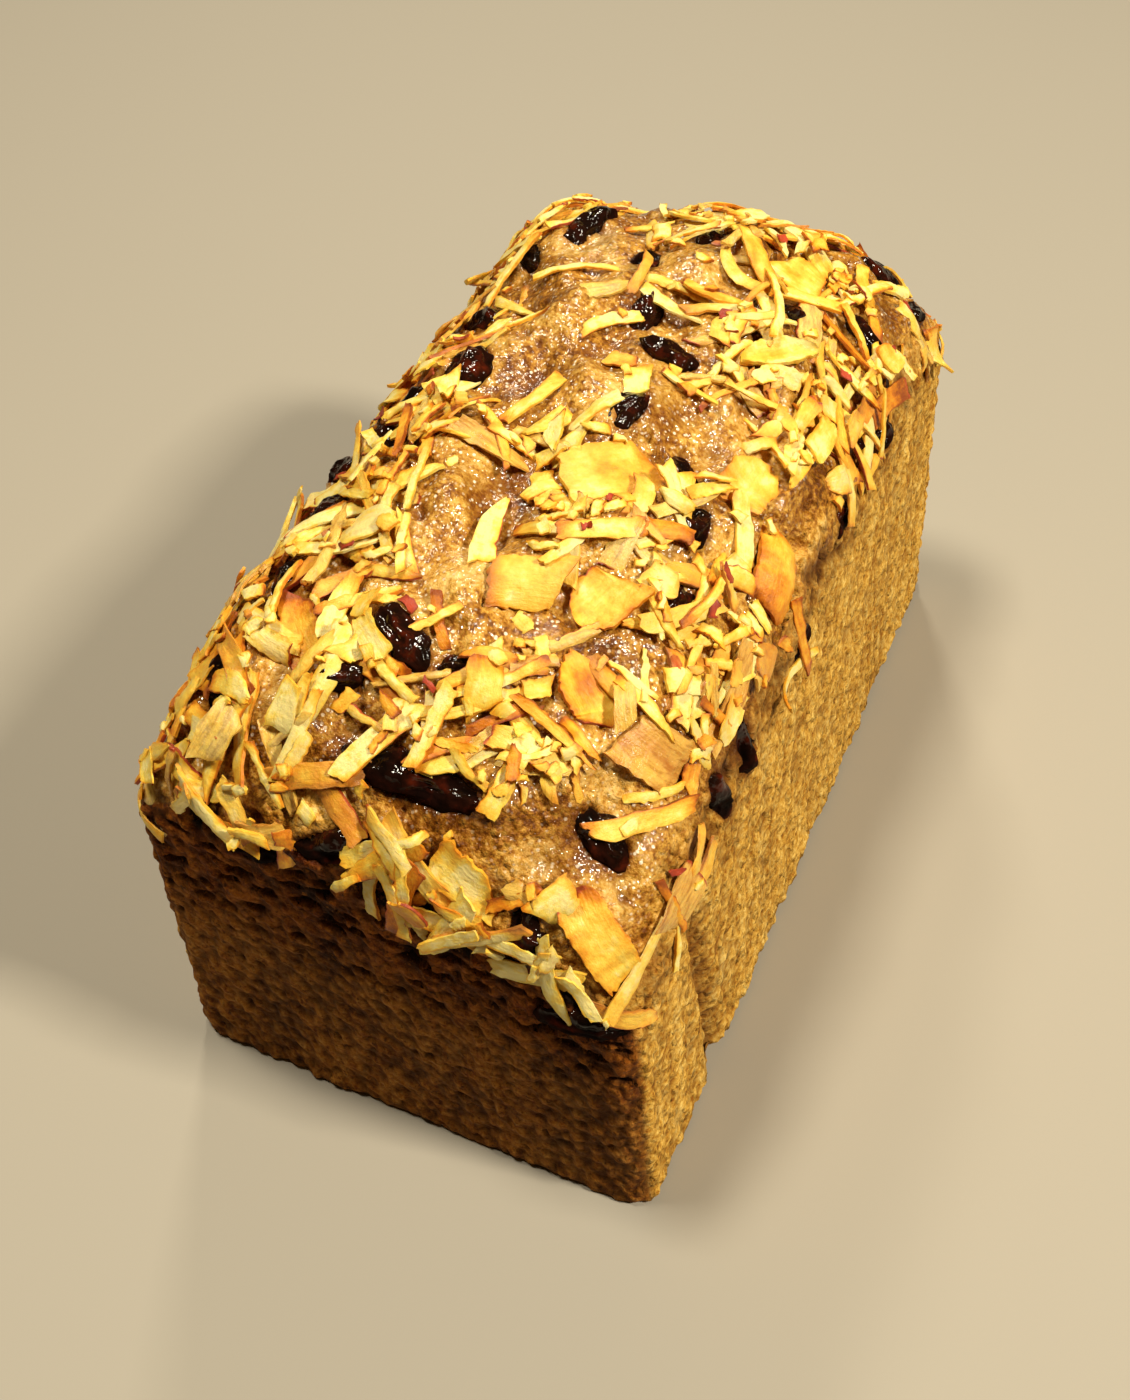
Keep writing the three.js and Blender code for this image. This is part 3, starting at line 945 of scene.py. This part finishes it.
def chip_size(rng):
    length = drawn_length(rng, 6.2, 2.2, 3, 11)
    return length, length * rng.uniform(0.4, 0.8), rng.uniform(0.45, 0.75)


def skin_size(rng):
    length = rng.uniform(1.5, 3.6)
    return length, length * rng.uniform(0.35, 0.7), 0.4


def crumb_size(rng):
    length = float(np.clip(rng.gamma(2.5, 0.5), 0.6, 2.8))
    width = length * rng.uniform(0.35, 0.8)
    return length, width, min(width, 0.8)


SCATTER_SEED = 20
# Most slices curl little and some much; spreads of their cup for their width, of their
# sideways bow for their length, and of their twist in radians
CURLS = (0.6, 1.7)
CURL_SHARES = (0.8, 0.2)
CUP = 0.08
BOW = 0.06
TWIST = 0.22
# Each kind of scattered slice: how many, their size, the columns and rows of points of each,
# how much they curl for their length, and the share of them with dark skin
KINDS = dict(
    toasted_strips=(300, strip_size, STRIP_COLUMNS, 17, 0.04, 0.3),
    toasted_shreds=(210, shred_size, SHRED_COLUMNS, 16, 0.05, 0.12),
    toasted_chips=(140, chip_size, CHIP_COLUMNS, 12, 0.05, 0.25),
    red_skins=(30, skin_size, SHRED_COLUMNS, 8, 0.12, 0),
    toasted_crumbs=(180, crumb_size, SHRED_COLUMNS, 6, 0, 0),
)


def scatter(pile, rng, count, pick_size, columns, rows, curliness, skinned):
    """One kind of slices, of random size, laid on the pile at random places"""
    parts = []
    while len(parts) < count:
        size = pick_size(rng)
        curl = rng.normal(0, curliness * size[0]) * rng.choice(CURLS, p=CURL_SHARES)
        turn = rng.uniform(0, 2 * math.pi)
        soaked = rng.choice(SOAKS, p=SOAK_SHARES)
        sink = SINK + SOAKED_SINK * soaked
        rest = pile.rest(*random_place(rng), turn, size, curl, sink)
        if rest is None:
            continue
        middle, axes, curl = rest
        cup, bow = rng.normal(0, CUP * size[1]), rng.normal(0, BOW * size[0])
        twist = rng.normal(0, TWIST)
        rind = random_rind(rng, skinned)
        points, faces, looks = slice_shape(rng, size, columns, rows, curl, cup, bow, twist, rind=rind)
        part = (middle + points @ axes, faces, looks)
        add_tones(part, rng, soaked=soaked)
        parts.append(part)
    return joined(parts)


FLAKE_THICKNESS = 1.15
FLAKE_WIDEN = 1.06
FLAKE_SEED = 900


def flake_look(tips, cup=0.7, ragged=0.08, rind=None, thickness=FLAKE_THICKNESS, skinned=0, **tones):
    """The form and tones of a broad flake; `skinned` is how much of its face has kept dark skin"""
    form = dict(tips=tips, cup=cup, ragged=ragged, rind=rind)
    return dict(form=form, thickness=thickness, skinned=skinned, tones=tones)


# What each broad flake looks like, in the order of their nodes
FLAKE_LOOKS = (
    flake_look((0.9, 0.85), toast=0.1, spot=0.45, soaked=0.2),
    flake_look((0.95, 0.12), toast=0.2, end_toast=0.2, soaked=0.2),
    flake_look((0.7, 0.55), cup=-1.5, toast=0.42, end_toast=0.2),
    flake_look((0.15, 0.95), rind="right", toast=0.2, end_toast=-0.1),
    flake_look((0.7, 0.9), cup=-0.8, toast=0.2, end_toast=-0.5, soaked=0.2),
    flake_look((0.9, 0.97), toast=0.14, spot=0.2),
    flake_look((0.2, 0.3), cup=1.4, toast=0.06, spot=0.4),
    flake_look((0.3, 0.95), rind="high_end", toast=0.3, spot=0.35),
    flake_look((0.9, 0.95), skinned=0.55, toast=0.5, soaked=1),
    flake_look((0.7, 0.9), rind="low_end", toast=0.45, end_toast=-0.3),
    flake_look((0.8, 0.9), toast=0.12, end_toast=0.3),
    flake_look((0.75, 0.8), rind="low_end", thickness=2.3, toast=0.26),
    flake_look((0.5, 0.4), ragged=0.16, toast=0.05, end_toast=0.2),
    flake_look((0.8, 0.6), cup=0.9, toast=0.15, end_toast=0.2),
)


def make_flake(flake, index, material):
    """A broad toasted flake over its CAD node"""
    rng = np.random.default_rng(FLAKE_SEED + index)
    length, width, _ = 2 * flake["half"]
    size = (length, width * FLAKE_WIDEN, flake["thickness"])
    shape = dict(flake["form"], curl=flake["curl"], columns=BROAD_COLUMNS, rows=26)
    points, faces, looks = slice_shape(rng, size, **shape)
    looks["skin"] = np.maximum(looks["skin"], flake["skinned"] * (0.6 + 0.4 * noise(points, 4, 5)))
    part = (flake["middle"] + points @ flake["axes"], faces, looks)
    add_tones(part, rng, **flake["tones"])
    piece = make_mesh(f"{flake['name']}_slice", *part, crisp=True)
    add_piece(piece, material, flake["name"])


# ---- materials


class Nodes:
    """A material's node tree with short calls for the nodes used here; sizes are in metres"""

    def __init__(self, name):
        self.material = bpy.data.materials.new(name)
        self.material.use_nodes = True
        self.tree = self.material.node_tree
        self.shader = self.tree.nodes["Principled BSDF"]
        self.position = self.make("TexCoord").outputs["Object"]

    def make(self, kind, inputs=None, **settings):
        """A node with these settings, and these values or links by the input's name or number"""
        node = self.tree.nodes.new(f"ShaderNode{kind}")
        for key, value in settings.items():
            setattr(node, key, value)
        for key, value in (inputs or {}).items():
            self.put(value, node.inputs[key])
        return node

    def put(self, value, socket):
        if isinstance(value, bpy.types.NodeSocket):
            self.tree.links.new(value, socket)
        else:
            socket.default_value = (*value, 1) if socket.type == "RGBA" else value

    def attribute(self, name):
        return self.make("Attribute", attribute_name=name).outputs["Fac"]

    def noise_at(self, place, size, detail=3, roughness=0.55):
        """Noise from 0 to 1 with lumps of that size, over places given by a socket"""
        inputs = dict(Vector=place, Scale=1 / size, Detail=detail, Roughness=roughness)
        return self.make("TexNoise", inputs).outputs["Fac"]

    def stretched(self, stretch):
        return self.make("Mapping", dict(Vector=self.position, Scale=stretch)).outputs["Vector"]

    def noise(self, size, detail=3, roughness=0.55, stretch=(1, 1, 1)):
        return self.noise_at(self.stretched(stretch), size, detail, roughness)

    def cells(self, size, stretch=(1, 1, 1)):
        """Distance to the nearest of points strewn that far apart"""
        inputs = dict(Vector=self.stretched(stretch), Scale=1 / size)
        return self.make("TexVoronoi", inputs).outputs["Distance"]

    def spread(self, value, low, high, to_low=0.0, to_high=1.0):
        """The value moved from the range low to high to the range to_low to to_high"""
        ends = {"From Min": low, "From Max": high, "To Min": to_low, "To Max": to_high}
        return self.make("MapRange", {"Value": value} | ends).outputs["Result"]

    def math(self, operation, first, second):
        return self.make("Math", {0: first, 1: second}, operation=operation).outputs["Value"]

    def times(self, first, second):
        return self.math("MULTIPLY", first, second)

    def plus(self, first, second):
        return self.math("ADD", first, second)

    def ramp(self, value, stops):
        """Colours by value: (place, colour) pairs"""
        node = self.make("ValToRGB", dict(Fac=value))
        elements = node.color_ramp.elements
        while len(elements) < len(stops):
            elements.new(0.5)
        for element, (place, colour) in zip(elements, stops):
            element.position = place
            element.color = (*colour, 1)
        return node.outputs["Color"]

    def mix(self, share, first, second, blend="MIX"):
        inputs = {0: share, 6: first, 7: second}
        return self.make("Mix", inputs, data_type="RGBA", blend_type=blend).outputs[2]

    def bump(self, height, distance, strength=1.0, **below):
        """A bump, over the one below if that is given as Normal"""
        inputs = dict(Height=height, Distance=distance, Strength=strength, **below)
        return self.make("Bump", inputs).outputs["Normal"]

    def finish(self, **inputs):
        """Sets the shader's inputs, by link or by value"""
        for key, value in inputs.items():
            self.put(value, self.shader.inputs[key.replace("_", " ")])
        return self.material


def srgb(*channels):
    """A colour given as 0 to 255 on a screen, as the linear values that shaders take"""
    shares = np.array(channels) / 255
    linear = np.where(shares <= 0.04045, shares / 12.92, ((shares + 0.055) / 1.055) ** 2.4)
    return tuple(linear.tolist())


def colours(*stops):
    """Stops for a ramp, from a place and a screen colour each"""
    return [(place, srgb(*colour)) for place, *colour in stops]


# Colours of the crust, the crumb, raisins and soaked flesh by noise, and of slices and dark
# skins by how toasted they are
CRUST_COLOURS = colours((0.41, 102, 54, 8), (0.47, 162, 104, 28), (0.54, 210, 157, 64), (0.63, 244, 203, 122))
CRUMB_COLOURS = colours(
    (0.38, 158, 98, 26), (0.46, 206, 152, 56), (0.54, 234, 186, 88), (0.62, 250, 214, 124)
)
RAISIN_COLOURS = colours((0.35, 14, 6, 3), (0.55, 34, 12, 6), (0.72, 78, 24, 8))
SOAKED_COLOURS = colours((0.36, 164, 112, 46), (0.56, 226, 184, 92))
TOAST_COLOURS = colours(
    (0, 242, 220, 142), (0.12, 240, 207, 98), (0.24, 238, 194, 70),
    (0.44, 232, 166, 42), (0.7, 208, 122, 16), (1, 142, 66, 10),
)
SKIN_COLOURS = colours((0, 184, 68, 32), (0.4, 152, 50, 26), (1, 104, 34, 18))


def crumb_colour(nodes, hollow_shade, browned_and_shade, wet):
    """Golden crumb and sugary crust, with painted shade in the hollows, browning and painted shade over the
    near end with painted dark pores and lit grains there, damp patches, and painted glint specks
    """
    patches = nodes.noise(0.012, 4, 0.6)
    sugar = nodes.noise(0.0012, 4, 0.75)
    crust_tone = nodes.plus(nodes.times(patches, 0.5), nodes.times(sugar, 0.5))
    crust_colour = nodes.ramp(crust_tone, CRUST_COLOURS)
    streaks = nodes.noise(0.0036, 4, 0.7, (1, 1, 0.22))
    grain = nodes.noise(0.0011, 4, 0.75)
    crumb_tone = nodes.plus(nodes.times(streaks, 0.4), nodes.times(grain, 0.6))
    colour = nodes.mix(nodes.attribute("crust"), nodes.ramp(crumb_tone, CRUMB_COLOURS), crust_colour)
    # Painted shade in the hollows
    colour = nodes.mix(nodes.times(hollow_shade, 0.8), colour, srgb(112, 58, 6))
    # Browning along the rim and painted shade over the near end, as one darkening
    colour = nodes.mix(browned_and_shade, colour, (0.37, 0.175, 0.055), "MULTIPLY")
    # Painted shade in dark pores and painted highlights on lighter grains, where the near end and rim are
    # darkened
    speckle = nodes.noise(0.0016, 3, 0.7)
    pore_shade = nodes.math("MAXIMUM", nodes.spread(speckle, 0.44, 0.34, 0, 0.7), hollow_shade)
    colour = nodes.mix(nodes.times(browned_and_shade, pore_shade), colour, srgb(26, 11, 2))
    grain_highlights = nodes.times(browned_and_shade, nodes.spread(speckle, 0.56, 0.66, 0, 0.5))
    colour = nodes.mix(grain_highlights, colour, srgb(166, 100, 26))
    colour = nodes.mix(nodes.attribute("damp"), colour, (0.45, 0.30, 0.2), "MULTIPLY")
    # Painted glints: near-white specks in the base colour where the crust is glossy
    glint_specks = nodes.spread(nodes.cells(0.0012), 0.3, 0.16)
    glint_patches = nodes.times(wet, nodes.spread(nodes.noise(0.008), 0.4, 0.6, 0.15, 0.85))
    return nodes.mix(nodes.times(glint_specks, glint_patches), colour, srgb(255, 244, 218))


def crumb_material():
    """Dry spongy crumb on the sides and a crust with a damp shine on the crown"""
    nodes = Nodes("banana_crumb_and_crust")
    wet = nodes.attribute("wet")
    colour = crumb_colour(nodes, nodes.attribute("hollow_shade"), nodes.attribute("browned_and_shade"), wet)
    sponge = nodes.spread(nodes.cells(0.0019, UPRIGHT), 0.1, 0.6)
    sponge_bump = nodes.bump(nodes.times(sponge, nodes.spread(wet, 0, 1, -1, 0)), 0.0009, 0.9)
    return nodes.finish(
        Base_Color=colour, Roughness=nodes.spread(nodes.attribute("crust"), 0, 1, 0.9, 0.4),
        Normal=nodes.bump(nodes.noise(0.0011, 3, 0.6), 0.0008, 0.9, Normal=sponge_bump),
        Specular_IOR_Level=0.15, Coat_Roughness=0.07, Coat_IOR=1.6,
        Coat_Weight=nodes.times(wet, nodes.spread(nodes.noise(0.006, 3, 0.65), 0.36, 0.5, 0.6, 1.0)),
        Coat_Normal=nodes.bump(nodes.noise(0.0017, 2, 0.6), 0.0008),
    )


def raisin_material():
    """Nearly black wrinkled skin with a sticky gloss on top, reddish here and there, with painted shade deep
    in its folds
    """
    nodes = Nodes("raisin_skin")
    colour = nodes.ramp(nodes.noise(0.004, 3, 0.6), RAISIN_COLOURS)
    colour = nodes.mix(nodes.times(nodes.attribute("fold_shade"), 0.6), colour, srgb(10, 6, 5))
    wrinkles = nodes.noise(0.0017, 2, 0.5)
    return nodes.finish(
        Base_Color=colour, Roughness=nodes.spread(nodes.noise(0.003), 0.35, 0.65, 0.6, 0.85),
        IOR=1.15, Specular_IOR_Level=0.05, Normal=nodes.bump(wrinkles, 0.0002),
        Coat_Weight=nodes.spread(nodes.attribute("up"), 0.2, 0.8, 0.03, 1.0),
        Coat_Roughness=0.08, Coat_IOR=1.42, Coat_Normal=nodes.bump(wrinkles, 0.0005),
    )


def toasted_material(name, toast_colours, skin_colour):
    """Flesh whose colour goes by its toast, with fibres, soaked patches and dark skin"""
    nodes = Nodes(name)
    along = nodes.times(nodes.attribute("grain_along"), 0.22)
    fibre_place = nodes.make("CombineXYZ", dict(X=along, Y=nodes.attribute("grain_across")))
    fibres = nodes.noise_at(fibre_place.outputs["Vector"], 0.9, 4, 0.6)
    mottle = nodes.spread(nodes.noise(0.0024, 4, 0.65), 0.3, 0.7, -0.17, 0.17)
    streaks = nodes.spread(fibres, 0.3, 0.7, -0.09, 0.09)
    tone = nodes.plus(nodes.plus(nodes.attribute("toast"), mottle), streaks)
    soaked = nodes.attribute("soaked")
    soaked_flesh = nodes.ramp(fibres, SOAKED_COLOURS)
    colour = nodes.mix(nodes.times(soaked, 0.7), nodes.ramp(tone, toast_colours), soaked_flesh)
    rind = nodes.mix(nodes.spread(nodes.noise(0.002), 0.35, 0.65), skin_colour, srgb(176, 76, 32))
    colour = nodes.mix(nodes.spread(nodes.attribute("skin"), 0.3, 0.8), colour, rind)
    fibrous = nodes.bump(fibres, 0.0003, 0.8)
    dry = nodes.spread(nodes.noise(0.002, 2), 0.3, 0.7, 0.38, 0.6)
    return nodes.finish(
        Base_Color=colour, Roughness=nodes.math("SUBTRACT", dry, nodes.times(soaked, 0.2)),
        Normal=nodes.bump(nodes.noise(0.0009, 4, 0.65), 0.0003, 0.7, Normal=fibrous), Specular_IOR_Level=0.4,
        Subsurface_Weight=0.2, Subsurface_Radius=(1.0, 0.6, 0.25), Subsurface_Scale=0.0014,
    )


# ---- stage


FLOOR_SIZE = 12000


def floor_material():
    """Pale and matt, a little uneven"""
    nodes = Nodes("pale_floor")
    pale = srgb(164, 156, 142)
    tone = nodes.ramp(nodes.noise(0.3, 2), [(0, pale), (1, [channel * 0.97 for channel in pale])])
    return nodes.finish(Base_Color=tone, Roughness=0.7)


def make_stage():
    half = FLOOR_SIZE / 2
    corners = [(-half, -half, 0), (half, -half, 0), (half, half, 0), (-half, half, 0)]
    floor = make_mesh("floor", corners, [(0, 1, 2, 3)])
    floor.data.materials.append(floor_material())


def point_at(thing, place, target, roll=0.0):
    """Puts a camera or lamp at a place, looking at a target, rolled about its line of sight"""
    sight = (Vector(target) - Vector(place)).normalized()
    turn = sight.to_track_quat("-Z", "Y").to_matrix().to_4x4()
    thing.matrix_world = Matrix.Translation(place) @ turn @ Matrix.Rotation(roll, 4, "Z")


CAMERA_PLACE = (0.0912, -0.1952, 0.2812)
CAMERA_TARGET = (0.0034, -0.0199, 0.050)
CAMERA_ROLL = math.radians(-3.2)
CAMERA_LENS = 41.4


def make_camera():
    camera = new_object("camera", bpy.data.cameras.new("camera"))
    camera.data.lens = CAMERA_LENS
    camera.data.clip_start = 0.01
    point_at(camera, CAMERA_PLACE, CAMERA_TARGET, CAMERA_ROLL)
    bpy.context.scene.camera = camera


LAMP_COLOUR = (1.0, 0.92, 0.74)
LAMP_TARGET = (0, 0, 0.06)
WORLD_COLOUR = (1.0, 0.64, 0.24, 1)
WORLD_STRENGTH = 0.025


def make_lamp(name, place, size, watts):
    lamp = new_object(name, bpy.data.lights.new(name, "AREA"))
    lamp.data.size = size
    lamp.data.energy = watts
    lamp.data.color = LAMP_COLOUR
    point_at(lamp, place, LAMP_TARGET)


def make_light():
    make_lamp("key_light", (0.80, 0.0, 0.88), 0.14, 15)
    make_lamp("top_light", (-0.25, -0.08, 1.14), 0.2, 9.6)
    make_lamp("back_light", (-0.40, 0.74, 0.86), 0.14, 4.5)
    world = bpy.data.worlds.new("studio")
    bpy.context.scene.world = world
    world.use_nodes = True
    background = world.node_tree.nodes["Background"].inputs
    background["Color"].default_value = WORLD_COLOUR
    background["Strength"].default_value = WORLD_STRENGTH


# ---- putting it together


def main():
    raisins = nodes_named("raisin")
    flakes = [node | look for node, look in zip(nodes_named("toasted_flake"), FLAKE_LOOKS)]
    add_piece(make_loaf(raisins, flakes), crumb_material(), "loaf")

    skin = raisin_material()
    for index, raisin in enumerate(raisins):
        make_raisin(raisin, index, skin)
    nut = toasted_material("toasted_slices", TOAST_COLOURS, srgb(136, 50, 24))
    for index, flake in enumerate(flakes):
        make_flake(flake, index, nut)

    pile = Pile()
    for node in raisins:
        pile.stamp_node(node, RAISIN_GUARD)
    for node in flakes:
        pile.stamp_node(node, 1)
    red = toasted_material("red_skin", SKIN_COLOURS, srgb(84, 30, 18))
    rng = np.random.default_rng(SCATTER_SEED)
    for name, kind in KINDS.items():
        piece = make_mesh(name, *scatter(pile, rng, *kind), crisp=True)
        add_piece(piece, red if name == "red_skins" else nut)

    make_stage()
    make_camera()
    make_light()
    bpy.context.scene.view_settings.view_transform = "Standard"


main()
